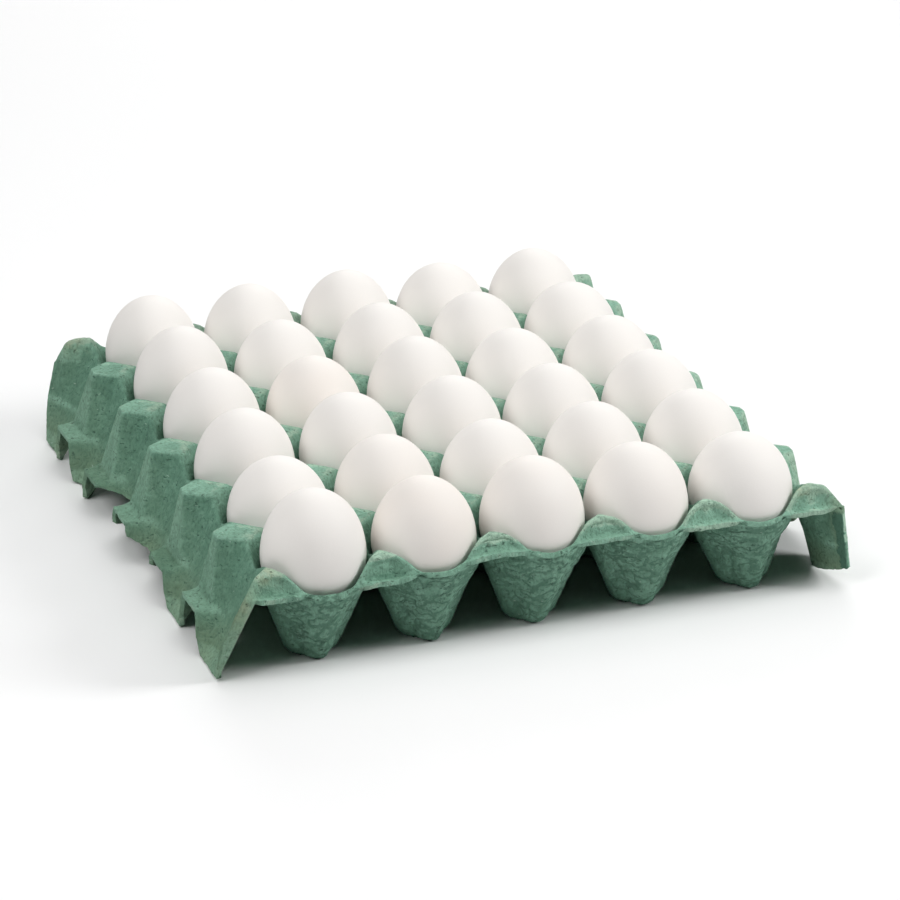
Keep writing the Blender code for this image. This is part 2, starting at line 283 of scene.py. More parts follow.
def makePulp(name, atCutEdge):
    look, marks, relief = pulpLook, pulpMarks, pulpRelief
    material, tree, shader, coords = startMaterial(name)
    noises = {kind: addNoise(tree, coords, *values) for kind, values in pulpNoises.items()}
    broad, cloudy, fibre = noises["broad"], noises["cloudy"], noises["fibre"]
    coarse = readAttribute(tree, "coarse")
    wobbled = addWobble(tree, coords)
    # small pits, short creases and wrinkles that run across; the colour is darkened in them as painted shade
    pitted = addProduct(tree, addRamp(tree, addMarkCells(tree, wobbled, "pits"), marks["pits"]["fade"]),
                        addRamp(tree, cloudy, marks["pits"]["where"]))
    edges = addMarkCells(tree, wobbled, "creases", "DISTANCE_TO_EDGE")
    creased = addProduct(tree, addRamp(tree, edges, marks["creases"]["fade"]),
                         addRamp(tree, noises["patches"], marks["creases"]["where"]),
                         coarse, addRamp(tree, noises["broken"], marks["creases"]["gaps"]))
    wrinkles = addWrinkles(tree, wobbled)
    # olive where damp has stained it, tan where it is scorched or dirty, and a few pale flecks of paper
    layers = (
        ("olive", addProduct(tree, readAttribute(tree, "stain"), addRamp(tree, broad, look["oliveWhere"]))),
        ("tan", addProduct(tree, readAttribute(tree, "tan"), addRamp(tree, cloudy, look["tanWhere"]))),
        # painted shade: near black in the gaps between fibres, in pits and in creases, and deep green in
        # wrinkle valleys
        ("pit", addRamp(tree, fibre, look["fibreGaps"])),
        ("pit", addProduct(tree, pitted, look["pitShare"])),
        ("pit", addProduct(tree, creased, look["creaseShare"])),
        ("deep", addProduct(tree, addRamp(tree, wrinkles, marks["wrinkles"]["valley"]), coarse)),
        ("fleck", addRamp(tree, addMarkCells(tree, wobbled, "flecks"), marks["flecks"]["fade"])),
    )
    steps = [(place, look[shade]) for place, shade in look["wearAndLightSteps"]]
    colour = addRamp(tree, addPulpTone(tree, noises, atCutEdge), steps)
    for shade, amount in layers:
        colour = addMix(tree, amount, colour, look[shade])
    # a soft lumpiness and fibres, stronger where the pulp is coarse, then wrinkles, pits and creases
    fibrous = addProduct(tree, fibre, relief["fibre"])
    height = addMath(tree, "ADD", addProduct(tree, cloudy, relief["cloudy"]), fibrous)
    swell = addMath(tree, "ADD", addProduct(tree, coarse, relief["whereCoarse"]), relief["everywhere"])
    wrinkled = addProduct(tree, wrinkles, coarse, relief["wrinkles"])
    height = addMath(tree, "ADD", addProduct(tree, height, swell), wrinkled)
    height = addMath(tree, "SUBTRACT", height, addProduct(tree, pitted, relief["pits"]))
    height = addMath(tree, "SUBTRACT", height, addProduct(tree, creased, relief["creases"]))
    finishMaterial(tree, shader, look, colour, height)
    return material


pulpSheet = makePulp("pulpSheet", False)
pulpCutEdge = makePulp("pulpCutEdge", True)
print("pulp materials made")


columnCount, rowCount = 5, 6
eggBoxes = {}
for column in range(columnCount):
    for row in range(rowCount):
        eggBoxes[column, row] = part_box(f"egg_{column + 1}_{row + 1}")


def centreOf(column, row):  # the middle of a cell, in millimetres
    low, high = eggBoxes[column, row]
    return (low.x + high.x) / 2 / mm, (low.y + high.y) / 2 / mm


tray = {
    "pitchX": (centreOf(4, 0)[0] - centreOf(0, 0)[0]) / 4,
    "pitchY": (centreOf(0, 5)[1] - centreOf(0, 0)[1]) / 5,
    "wall": 2.2,
    "postTop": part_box("tray")[1].z / mm,
    "postReach": (11.5, 10.5),  # half the diagonals of a post's top
    "postCrown": 0.35,  # how far a post's top rises to its middle
    "saddleX": 41.5,
    "saddleY": 38.5,
    "sideSaddle": (127.1, 43.5),
    # radius and height up a cup, from its floor to where it meets the facets of the posts
    "cup": ((3.2, 2.2), (7.2, 2.2), (8.6, 3.3), (9.5, 5.6), (11, 10), (12.9, 15), (15, 20), (17.6, 26.5)),
    "cupLean": (-0.8, 0.3, -0.6, 0.7, 2.9),  # how far the front cups' floors lie off centre, by column
    "cupLeanEnds": 27,
    "roundFloor": 4,  # within this radius a cup isn't drawn towards a diamond
    "cupSquare": (0.115, 0.035),  # how much it is drawn so, at its floor and at its belly
    "cupSquareFront": (0.165, 0.105),
    "squareBetween": (6, 26),
    "rimBack": 40,
    "rimBackCorner": (142.4, 5),  # |x|, and how far the rim drops on its way there
    # heights of the front rim at its left end, then at every post and cell, and at its right end
    "rimFront": (40.4, 39.2, 38, 39.3, 41.2, 44.4, 42.2, 43.6, 42.7, 42.1, 41.2, 41, 41),
    "rimCorner": 140,
    "turnedIn": (6.4, 6.3, 5.2, 3.6, 0.8),  # width of the flange down the left wall's front edge, by level
    "flangeColumns": 2,
    "cradle": 8.2,  # half the length of rim under an egg
    "rightReach": 149.2,
    "rimSwell": 1.7,  # the front rim stands out a little under each egg
    "lip": 1.3,
    "gableTop": (47.8, 48.9, 50.6, 50.8, 50.3, 50.3),
    "gableTopBack": 49.4,
    "edgeCuts": 8,
    "gableSteps": 10,
    # the room an egg takes up: below the belly its radius shrinks over the depth
    "seat": {"radius": 23.9, "belly": 45.5, "depth": 31, "taper": 0.3, "until": 0.75},
    "saddleCuts": 6,
    "cupRings": 8,  # rings up a cup
    "cupRingsFront": 18,
}
halfX, halfY = tray["pitchX"] / 2, tray["pitchY"] / 2
edgeY = rowCount * halfY
postX = columnCount * halfX
print("cell pitch", round(halfX * 2, 2), "x", round(halfY * 2, 2), "mm")


def rimHeight(x, end):
    if end > 0:
        dropped = tray["rimBackCorner"][1] * smoothStep(postX + 9.0, postX + 21.0, abs(x))
        return tray["rimBack"] + 0.5 * math.sin(x * 0.06) + 0.3 * math.sin(x * 0.17 + 1.0) - dropped
    heights = tray["rimFront"]
    stations = [-tray["rimCorner"], *(k * halfX for k in range(-5, 6)), tray["rimCorner"]]
    for k in range(len(stations) - 1):
        if x <= stations[k + 1]:
            return heights[k] + (heights[k + 1] - heights[k]) * smoothStep(stations[k], stations[k + 1], x)
    return heights[-1]


def postAtX(i):
    return (i - columnCount / 2) * tray["pitchX"]


def postAtY(j):
    return (j - rowCount / 2) * tray["pitchY"]


def ridgePath(corner, side, end, middle, foot):  # the middle points: further out, behind the rim, height
    x, footX, footZ = postAtX(corner), *foot
    return [
        (x, end * (edgeY - tray["postReach"][1]), tray["postTop"]),
        *((x + side * out, end * (edgeY - behind), height) for out, behind, height in middle),
        (footX, end * edgeY, footZ),
    ]


def gablePath(corner, side, end):  # down a gable's side ridge, from the post to the rim under the egg
    top = tray["gableTop"][corner] if end < 0 else 49.0
    foot = postAtX(corner) + side * (halfX - tray["cradle"])
    rim = rimHeight(foot, end)
    middle = (6.3, 6.2, top - 0.5), (10.4, 3.8, rim + 5.0), (13.8, 2.0, rim + 1.5)
    if end > 0 and corner in (0, columnCount):  # the crests of the back corners lie further out
        middle = (0.2, 6.2, 49.8), (6.2, 4.2, 43.6), (11.0, 2.2, rim + 1.2)
    return ridgePath(corner, side, end, middle, (foot, rim))


def cornerPath(corner, side, end):  # from a corner post's top, down the gable's outer side, to the rim's end
    rimX = tray["rimCorner"] if end < 0 else tray["rimBackCorner"][0]
    rim = rimHeight(side * rimX, end)
    top = tray["gableTop"][corner] if end < 0 else 49.3
    reach = 7.2 if end < 0 else 12.2
    middle = (
        (reach, 6.0, top - 0.2),
        ((reach * 2 + rimX - postX) / 3, 3.6, (top * 2 + rim) / 3),
        ((reach + (rimX - postX) * 2) / 3, 1.7, (top + rim * 2) / 3),
    )
    return ridgePath(corner, side, end, middle, (side * rimX, rim))


def saddlePoint(start, end, low, s):  # a soft dip between two corners
    x, y, z = mix(start, end, s)
    dip = math.sin(math.pi * s) ** 2 * 0.75 + (1 - abs(2 * s - 1)) * 0.25
    return x, y, z - (z - low) * dip


def rowEnd(row):  # 1 along the back, -1 along the front, otherwise 0
    return 1 if row == rowCount - 1 else -1 if row == 0 else 0


def brimPoint(column, row, k):  # the k-th point round a cell's brim, anticlockwise from the +X -Y corner
    cuts, dips = tray["edgeCuts"], tray["saddleCuts"]
    rx, ry = tray["postReach"]
    top = tray["postTop"]
    cx, cy = centreOf(column, row)
    quarter, step = divmod(k % (4 * (cuts + dips)), cuts + dips)
    onSaddle = step < dips
    s = step / dips if onSaddle else (step - dips) / cuts
    left, right, front, back = cx - halfX, cx + halfX, cy - halfY, cy + halfY
    corners = [
        (right, front + ry), (right, back - ry), (right - rx, back), (left + rx, back),
        (left, back - ry), (left, front + ry), (left + rx, front), (right - rx, front),
    ]
    start, end, after = ((*corners[(2 * quarter + k) % 8], top) for k in range(3))
    atSide = (quarter == 0 and column == columnCount - 1) or (quarter == 2 and column == 0)
    edge = rowEnd(row)
    if onSaddle:
        if atSide:
            x, y, z = saddlePoint(start, end, tray["sideSaddle"][1], s)
            bulge = (tray["sideSaddle"][0] - postX) * math.sin(math.pi * s) ** 2
            return (x + math.copysign(bulge, x), y, z)
        if edge and quarter == (1 if edge > 0 else 3):  # the rim under the egg
            x = cx - edge * tray["cradle"] * (2 * s - 1)
            swell = tray["rimSwell"] * math.sin(math.pi * s) if edge < 0 else 0.0
            return (x, edge * (edgeY + swell), rimHeight(x, edge) - swell * 0.5)
        low = tray["saddleX"] if quarter in (0, 2) else tray["saddleY"]
        return saddlePoint(start, end, low, s)
    if edge and (quarter < 2) == (edge > 0):  # the side ridge of a gable, otherwise the facet of a post
        corner, side = (column + 1, -1) if quarter in (0, 3) else (column, 1)
        return alongPath(gablePath(corner, side, edge), 1 - s if quarter % 2 else s)
    return mix(end, after, s)


def rimSide(row, k):  # the row's end where the k-th point of its cells' brims is on the rim, otherwise 0
    cuts, dips = tray["edgeCuts"], tray["saddleCuts"]
    quarter, step = divmod(k % (4 * (cuts + dips)), cuts + dips)
    end = rowEnd(row)
    return end if step <= dips and quarter == (1 if end > 0 else 3) else 0


def addCell(bm, column, row):
    around = 4 * (tray["edgeCuts"] + tray["saddleCuts"])
    rings = tray["cupRingsFront" if row == 0 else "cupRings"]
    cx, cy = centreOf(column, row)
    lean = tray["cupLean"][column] if row == 0 else 0.0
    atFloor, atBelly = tray["cupSquareFront" if row == 0 else "cupSquare"]
    brim = [brimPoint(column, row, k) for k in range(around)]

    def wallPoint(i, j):
        bx, by, bz = brim[i % around]
        angle = math.atan2(by - cy, bx - cx)
        path = []
        for radius, height in tray["cup"]:
            square = atFloor + (atBelly - atFloor) * smoothStep(*tray["squareBetween"], height)
            r = radius * (1 + square * math.cos(4 * angle)) if radius > tray["roundFloor"] else radius
            shift = lean * (1 - height / tray["cupLeanEnds"])
            path.append((cx + shift + r * math.cos(angle), cy + r * math.sin(angle), height))
        end = rimSide(row, i)
        if end:  # the wall bends out over the last ring into a narrow lip
            lip = max(tray["lip"], abs(by) - edgeY + tray["lip"])
            path.append((bx, by - end * lip, bz - 0.4))
            return (bx, by, bz) if j == rings else alongLength(path, j / (rings - 1))
        path.append((bx, by, bz))
        return alongLength(path, j / rings)

    addPatch(bm, around, rings, wallPoint)


def hollow(*points):
    return tuple((x, halfY, z) for x, z in points)


# down the side walls, from the brim to the feet: |x|, distance in Y from the post, height
wallAtPost = (136.6, 3, 50), (141.5, 9, 21), (149, 9, 20.5), (149.5, 12, 9), (148.7, 14.5, 0.9)
wallAtFlank = (postX, 10.5, 50), (138, 15, 21), (141.6, 16.5, 14), (143.8, 17.5, 7.4), (148.6, 18.5, 0.9)
wallAtCell = hollow((127.1, 43.5), (136.5, 21), (139.6, 14), (142.4, 7.2), (148.4, 0.9))
wallByCut = (postX, 10.5, 50), (140, 12.5, 21), (143.6, 13.5, 14), (145.6, 14.5, 7.8), (148.8, 16, 0.9)
wallAtCut = (140, 0, 40.4), (147, 2.4, 23.5), (148.6, 4.4, 15.5), (149.4, 6.2, 9), (148.8, 8.6, 1.6)
# the same at the back corners
backByCut = (postX, 10.5, 50), (142, 13, 21), (145, 15, 14), (147.8, 16.5, 8), (150.6, 18, 0.9)
backAtCut = (142.4, 0, 35), (147, 3, 21), (148.6, 6, 14), (149.8, 9, 8), (150.8, 12, 1.4)
backAtCell = hollow((127.1, 43.5), (138, 21), (141.8, 14), (145.4, 7.4), (150.2, 0.9))
backFlank = (postX, 10.5, 50), (138.5, 15, 21), (142.4, 16, 14), (145.6, 16, 7.4), (149.8, 16, 0.9)
# and at the front right corner, which is torn
tornAtCell = hollow((127.1, 43.5), (134.7, 21), (137, 13), (139, 6), (140.5, 1.2))
tornByCut = (postX, 10.5, 50), (137.5, 12, 21), (140, 12, 15), (141.5, 12, 9.6), (143, 12, 5)
tornAtCut = (140, 0, 41), (143.2, 0, 22), (144, 0, 16), (144.6, 0, 13), (145.2, 0, 10.6)
levelSteps = (12, 5, 4, 5)  # rows of faces between one height and the next

wear = {
    # by side and row: how much of their length the feet keep behind, along and in front of the cell
    "shortFeet": {(-1, 2): (0.36, 0.44, 0.50), (-1, 3): (0.30, 0.36, 0.50), (1, 1): (0.8, 0.7, 0.7)},
    "footStarts": {(-1, 3): 12},  # the first column with a foot, where the back of a foot is torn away
    "sagged": {2: (0, 3), 3: (3, 1), 4: (3.2, 2.5), 5: (2.8, 0)},  # left ledges: further out, lower
    "slumped": {2: (1.4, 0), 3: (2.4, 1.2), 4: (1.8, 0.6), 5: (1.2, 0.5)},  # right posts: further in, lower
}


def capCorner(side, post):  # the outer corner of a side post's flat top: |x|, distance in Y, height
    x, offset, height = wallAtPost[0]
    inwards, drop = wear["slumped"].get(post, (0.0, 0.0)) if side > 0 else (0.0, 0.0)
    return x - inwards, offset, height - drop


def wallKeys(side, row):  # the key columns along one cell of a side wall, from the back to the front
    if row == rowCount - 1:
        return backAtCut, backByCut, backAtCell, backFlank, wallAtPost
    if row > 0:
        return wallAtPost, wallAtFlank, wallAtCell, wallAtFlank, wallAtPost
    if side > 0:
        return wallAtPost, wallAtFlank, tornAtCell, tornByCut, tornAtCut
    return wallAtPost, wallAtFlank, wallAtCell, wallByCut, wallAtCut


def keyColumn(levels, side, post, towards, share):  # share is how much of its length the foot keeps
    atPost = levels is wallAtPost
    swell, drop = wear["sagged"].get(post, (0.0, 0.0)) if side < 0 and atPost else (0.0, 0.0)
    if atPost:
        levels = (capCorner(side, post), *wallAtPost[1:])
    points = []
    for index, (x, offset, height) in enumerate(levels):
        if index > 2:
            x, offset, height = mix(levels[2], (x, offset, height), share)
        if index:
            x += swell
        if side > 0:
            x = min(x, tray["rightReach"])
        if 0 < index <= 2:
            height -= drop
        points.append((side * x, postAtY(post) + towards * offset, height))
    return points


def flangeColumns(edge):  # the flange turned in from the left wall's front edge, which narrows to the foot
    start, end = -tray["rimCorner"], -postX + halfX - tray["cradle"]
    columns = []
    for step in range(1, tray["flangeColumns"] + 1):
        rimX = start + (end - start) * (step / tray["gableSteps"])
        column = [(rimX, -edgeY, rimHeight(rimX, -1))]  # shared with the gable's rim
        for (x, y, z), width in zip(edge[1:], tray["turnedIn"][1:]):
            column.append((x + width * step / tray["flangeColumns"], y - 0.2 * step, z + 0.3 * step))
        columns.append(column)
    return columns


def wallColumns(side, row):  # every column of points along one cell, each from the brim down to the foot
    cuts, dips = tray["edgeCuts"], tray["saddleCuts"]
    shares = wear["shortFeet"].get((side, row), (1.0, 1.0, 1.0))
    keys = wallKeys(side, row)
    behindOuter, behindInner = (keyColumn(levels, side, row + 1, -1, shares[0]) for levels in keys[:2])
    atCell = keyColumn(keys[2], side, row + 1, -1, shares[1])
    aheadInner, aheadOuter = (keyColumn(levels, side, row, 1, shares[2]) for levels in keys[3:])
    column, corner = (0, 0) if side < 0 else (columnCount - 1, columnCount)

    def endColumn(post, outer, inner, s):  # s = 0 at the post's middle or at the cut, 1 at the flank
        if post in (0, rowCount):
            points = [mix(p, q, s) for p, q in zip(outer, inner)]
            return [alongPath(cornerPath(corner, side, 1 if post else -1), 1 - s), *points[1:]]
        if s <= 0.5:
            postY = postAtY(post)
            return [(x, postY + (y - postY) * s * 2, z) for x, y, z in outer]
        return [mix(p, q, s * 2 - 1) for p, q in zip(outer, inner)]

    columns = [endColumn(row + 1, behindOuter, behindInner, step / cuts) for step in range(cuts)]
    for step in range(dips + 1):  # round the hollow over the cell
        t = step / dips * 2
        start, end, share = (behindInner, atCell, t) if t <= 1 else (atCell, aheadInner, t - 1)
        points = [mix(p, q, share) for p, q in zip(start, end)]
        k = (2 * (cuts + dips) + step) if side < 0 else (dips - step)
        columns.append([brimPoint(column, row, k), *points[1:]])
    columns += [endColumn(row, aheadOuter, aheadInner, 1 - step / cuts) for step in range(1, cuts + 1)]
    if (side, row) == (-1, 0):
        columns += flangeColumns(columns[-1])
    return columns


def levelPoint(points, j):  # j counts down through the level steps
    for k, steps in enumerate(levelSteps):
        if j <= steps:
            return mix(points[k], points[k + 1], j / steps)
        j -= steps
    return points[-1]


def addSideWall(bm, side):
    cuts = tray["edgeCuts"]
    facetLevels = levelSteps[0] + levelSteps[1]
    allLevels = sum(levelSteps)
    for row in range(rowCount):
        columns = wallColumns(side, row)
        last = len(columns) - 1
        first = 0 if row == rowCount - 1 else wear["footStarts"].get((side, row), cuts // 2)
        final = last if row == 0 else last - cuts // 2
        addPatch(bm, final - first, allLevels, lambda i, j: levelPoint(columns[first + i], j))
        if first:
            addPatch(bm, first, facetLevels, lambda i, j: levelPoint(columns[i], j))
        if final < last:
            addPatch(bm, last - final, facetLevels, lambda i, j: levelPoint(columns[final + i], j))


def addPostTop(bm, i, j):
    cuts, crown = tray["edgeCuts"], tray["postCrown"]
    x, y = postAtX(i), postAtY(j)
    rx, ry = tray["postReach"]
    top = tray["postTop"]
    front, back = (x, y - ry, top), (x, y + ry, top)
    outerSide = {0: -1, columnCount: 1}.get(i)

    def cornerEdge(side, towards, s):  # from the front or back corner (s = 0) to the side corner (s = 1)
        start = (x, y + towards * ry, top)
        if side != outerSide:
            return mix(start, (x + side * rx, y, top), s)
        capX, capY, capZ = capCorner(side, j)
        edge = (side * capX, y + towards * capY, capZ)
        if s <= 0.5:
            return mix(start, edge, s * 2)
        return mix(edge, (side * capX, y, capZ), s * 2 - 1)

    rightCorner, leftCorner = cornerEdge(1, -1, 1), cornerEdge(-1, -1, 1)

    def topPoint(a, b):  # a runs from the front corner to the right one, b from the front to the left one
        s, t = a / cuts, b / cuts
        across = mix(cornerEdge(1, -1, s), cornerEdge(-1, 1, 1 - s), t)
        along = mix(cornerEdge(-1, -1, t), cornerEdge(1, 1, 1 - t), s)
        plane = mix(mix(front, rightCorner, s), mix(leftCorner, back, s), t)
        px, py, pz = (p + q - r for p, q, r in zip(across, along, plane))
        if 0 < a < cuts and 0 < b < cuts:
            pz = pz - crown + crown * (1 - (2 * s - 1) ** 2) * (1 - (2 * t - 1) ** 2)
        return px, py, pz

    addPatch(bm, cuts, cuts, topPoint)


gable = {
    "shoulders": (0.04, 0.34),  # shares of the width, between which the face sinks in from the side ridges
    "roll": 0.5,  # a rounded edge down each side of the face
    "rollPlace": 0.1, "rollWidth": 0.06, "rollUp": 0.6,
    "fold": 0.7,  # a ridge down the middle of the face
    "foldNarrow": 11,
}


def addGable(bm, corner, end):  # a roof from the post to a thick crest, a hollow face, and a lip at the rim
    rows, across = tray["edgeCuts"], tray["gableSteps"]
    top = tray["gableTop"][corner] if end < 0 else tray["gableTopBack"]
    rim = rimHeight(postAtX(corner), end)
    middle = [  # distance behind the rim, height
        (tray["postReach"][1], tray["postTop"]), (8.0, top + 0.7), (5.6, top + 0.6), (4.9, top - 1.2),
        (5.9, top - 2.8), (5.3, rim + 4.4), (4.5, rim + 1.6), (3.1, rim - 0.2), (0.0, rim),
    ]
    leftPath = cornerPath(corner, -1, end) if corner == 0 else gablePath(corner, -1, end)
    rightPath = cornerPath(corner, 1, end) if corner == columnCount else gablePath(corner, 1, end)

    def facePoint(i, j):
        q = i / across
        px, py, pz = mix(alongPath(leftPath, j / rows), alongPath(rightPath, j / rows), q)
        if j == rows:
            return px, py, rimHeight(px, end)
        setback, height = middle[j]
        fromSide = min(q, 1 - q)
        weight = smoothStep(*gable["shoulders"], fromSide)
        roll, fold = 0.0, 0.0
        if 0 < i < across:
            roll = gable["roll"] * hump(fromSide, gable["rollPlace"], gable["rollWidth"])
        roll *= smoothStep(0, 3, j) * smoothStep(rows, rows - 2, j)
        if 3 < j < rows - 1:
            fold = gable["fold"] * math.exp(-((q - 0.5) * gable["foldNarrow"]) ** 2)
        inner = end * (edgeY - setback + fold)
        py = py + (inner - py) * weight + end * roll
        return px, py, pz + (height - pz) * weight + roll * gable["rollUp"]

    addPatch(bm, across, rows, facePoint)


closeUp = {"front": 22.0, "left": 2.0}  # the parts seen close, this far from the rim and from the posts


def isClose(point):
    return point.y < -edgeY + closeUp["front"] or point.x < -postX - closeUp["left"]


def makeSheet():
    bm = bmesh.new()
    for column in range(columnCount):
        for row in range(rowCount):
            addCell(bm, column, row)
    for i in range(columnCount + 1):
        for j in range(1, rowCount):
            addPostTop(bm, i, j)
        addGable(bm, i, -1)
        addGable(bm, i, 1)
    addSideWall(bm, -1)
    addSideWall(bm, 1)
    bmesh.ops.remove_doubles(bm, verts=bm.verts, dist=0.02)
    bmesh.ops.dissolve_degenerate(bm, edges=bm.edges, dist=0.01)
    cupFloor = tray["cup"][0][1] + 0.1
    floorEdges = [e for e in bm.edges if e.is_boundary and max(v.co.z for v in e.verts) < cupFloor
                  and abs(e.verts[0].co.x) < postX - 10 and abs(e.verts[0].co.y) < edgeY - 10]
    bmesh.ops.holes_fill(bm, edges=floorEdges, sides=0)
    bmesh.ops.recalc_face_normals(bm, faces=bm.faces)
    top = max(bm.faces, key=lambda f: f.calc_center_median().z)
    if top.normal.z < 0:
        bmesh.ops.reverse_faces(bm, faces=bm.faces)
    return bm


def cellAt(point):  # the column and row of the nearest cell
    column = min(max(round(point.x / tray["pitchX"]) + 2, 0), columnCount - 1)
    row = min(max(round(point.y / tray["pitchY"] + 2.5), 0), rowCount - 1)
    return column, row


def hugEggs(bm):  # the cups are pressed out where an egg's belly would reach into them
    seat = tray["seat"]
    for v in bm.verts:
        cx, cy = centreOf(*cellAt(v.co))
        t = (seat["belly"] - v.co.z) / seat["depth"]
        away = math.hypot(v.co.x - cx, v.co.y - cy)
        if 0 < t < seat["until"] and away > 1.0:
            reach = seat["radius"] * math.sqrt(1 - t * t) * (1 - seat["taper"] * t * t)
            if away < reach:
                v.co.x += (v.co.x - cx) * (reach / away - 1)
                v.co.y += (v.co.y - cy) * (reach / away - 1)


def openEdges(bm):
    odd = sum(not e.is_manifold and not e.is_boundary for e in bm.edges)
    return sum(e.is_boundary for e in bm.edges), odd


def soften(bm, rounds, chosen):
    for _ in range(rounds):
        verts = [v for v in bm.verts if not v.is_boundary and chosen(v.co)]
        bmesh.ops.smooth_vert(bm, verts=verts, factor=0.5, use_axis_x=True, use_axis_y=True, use_axis_z=True)


rimMean = 39.0

# tones that zones are drawn towards: narrowFacet, lip, postTop, gable and crest are paler partly as painted
# light, ledge and rightPost wholly so, and tornEdge is darker as painted shade
wearAndLightTone = {
    "plain": 0.44, "wallFace": 0.38, "narrowFacet": 0.62, "ledge": 0.78, "lip": 0.80, "postTop": 0.76,
    "rightPost": 0.90, "gable": 0.72, "crest": 1.05, "band": 0.76, "flange": 0.88, "frontCup": 0.56,
    "tornEdge": 0.10,
}

zones = {  # a share rises from 0 to 1 between the two, or falls where the first is the larger
    "side": (124, 131), "facetAcross": (134.5, 136.5), "facetWidens": (50, 21), "aboveLedge": (18, 21),
    "aboveFeet": (5.8, 7.4), "nearEnd": (edgeY - 13, edgeY - 9), "aboveRim": (rimMean - 1, rimMean + 1),
    "clearOfRim": (rimMean + 1.5, rimMean + 4), "besideGable": (11, 15), "behindBand": (1.2, 2.2),
    "bandHeight": (rimMean - 3, rimMean - 1.5), "ledge": (137.5, 139.5), "tornAcross": (139, 141),
    "behindTorn": (1.5, 4), "tornHeight": (38, 34), "rightPost": (116, 120), "rightPostHeight": (24, 34),
    "pastFirstPost": (-edgeY + 14, -edgeY + 20), "top": (48.6, 49.9), "crest": (46, 48.6),
    "frontGable": (-edgeY + 8, -edgeY + 5), "rightHalf": (0, 60), "cupRight": (8, 30),
    "behindCups": (-edgeY + 14, -edgeY + 26), "besideCups": (postX - 4, postX + 4), "aboveCups": (38, 41),
    "wall": (128, 140), "flank": (122, 126), "offPost": (5, 8), "aboveDamp": (6, 24), "belowTop": (49, 46),
    "behindFront": (-edgeY + 1, -edgeY + 9),
}

toneLines = {
    "rimCreaseShade": {"depth": 0.16, "gap": 3.6, "width": 0.9},  # painted shade in the crease behind the rim
    "ledge": {"height": 20.4, "width": 1.6},
    "facet": {"half": 3.2, "wider": 6.0, "inside": 1.5, "outside": 1.2},
    "rightGables": 0.17,
    "rightOfCups": 0.10,
}


def within(zone, value):
    return smoothStep(*zones[zone], value)


def towards(tone, kind, *shares):
    step = wearAndLightTone[kind] - tone
    for part in shares:
        step *= part
    return tone + step


def nearestPost(y):  # the y of the nearest post along a side wall
    return min(max(round(y / tray["pitchY"]), -2), 2) * tray["pitchY"]


def frontCupAngle(point):  # degrees from the front corner of the nearest front cup, to the right above 0
    column = cellAt(point)[0]
    cx, cy = centreOf(column, 0)
    shift = tray["cupLean"][column] * (1 - point.z / tray["cupLeanEnds"])
    return math.degrees(math.atan2(point.x - cx - shift, cy - point.y))


def isFrontCup(point):  # 0 to 1: the outside of the front cups, below the rim
    front = 1 - within("behindCups", point.y)
    inside = 1 - within("besideCups", abs(point.x))
    return front * inside * (1 - within("aboveCups", point.z))


def cutAt(z):  # the left wall's front edge at a height: |x| and distance behind the rim
    for (x0, y0, z0), (x1, y1, z1) in zip(wallAtCut, wallAtCut[1:]):
        if z >= z1:
            return mix((x0, y0), (x1, y1), max((z0 - z) / (z0 - z1), 0.0))
    return wallAtCut[-1][:2]


def facetShare(point):  # the narrow facet that runs down a side wall from each post
    line = toneLines["facet"]
    half = 0.0
    if point.z < tray["postTop"]:
        half = line["half"] + line["wider"] * within("facetWidens", point.z)
    away = abs(point.y - nearestPost(point.y))
    beside = smoothStep(half - line["inside"], half + line["outside"], away)
    return within("facetAcross", abs(point.x)) * (1 - beside)


def onFlange(point):
    cutX, cutY = cutAt(point.z)
    return -cutX + 0.5 < point.x < -postX and point.y < -edgeY + cutY + 0.7 and point.z < rimMean + 0.5


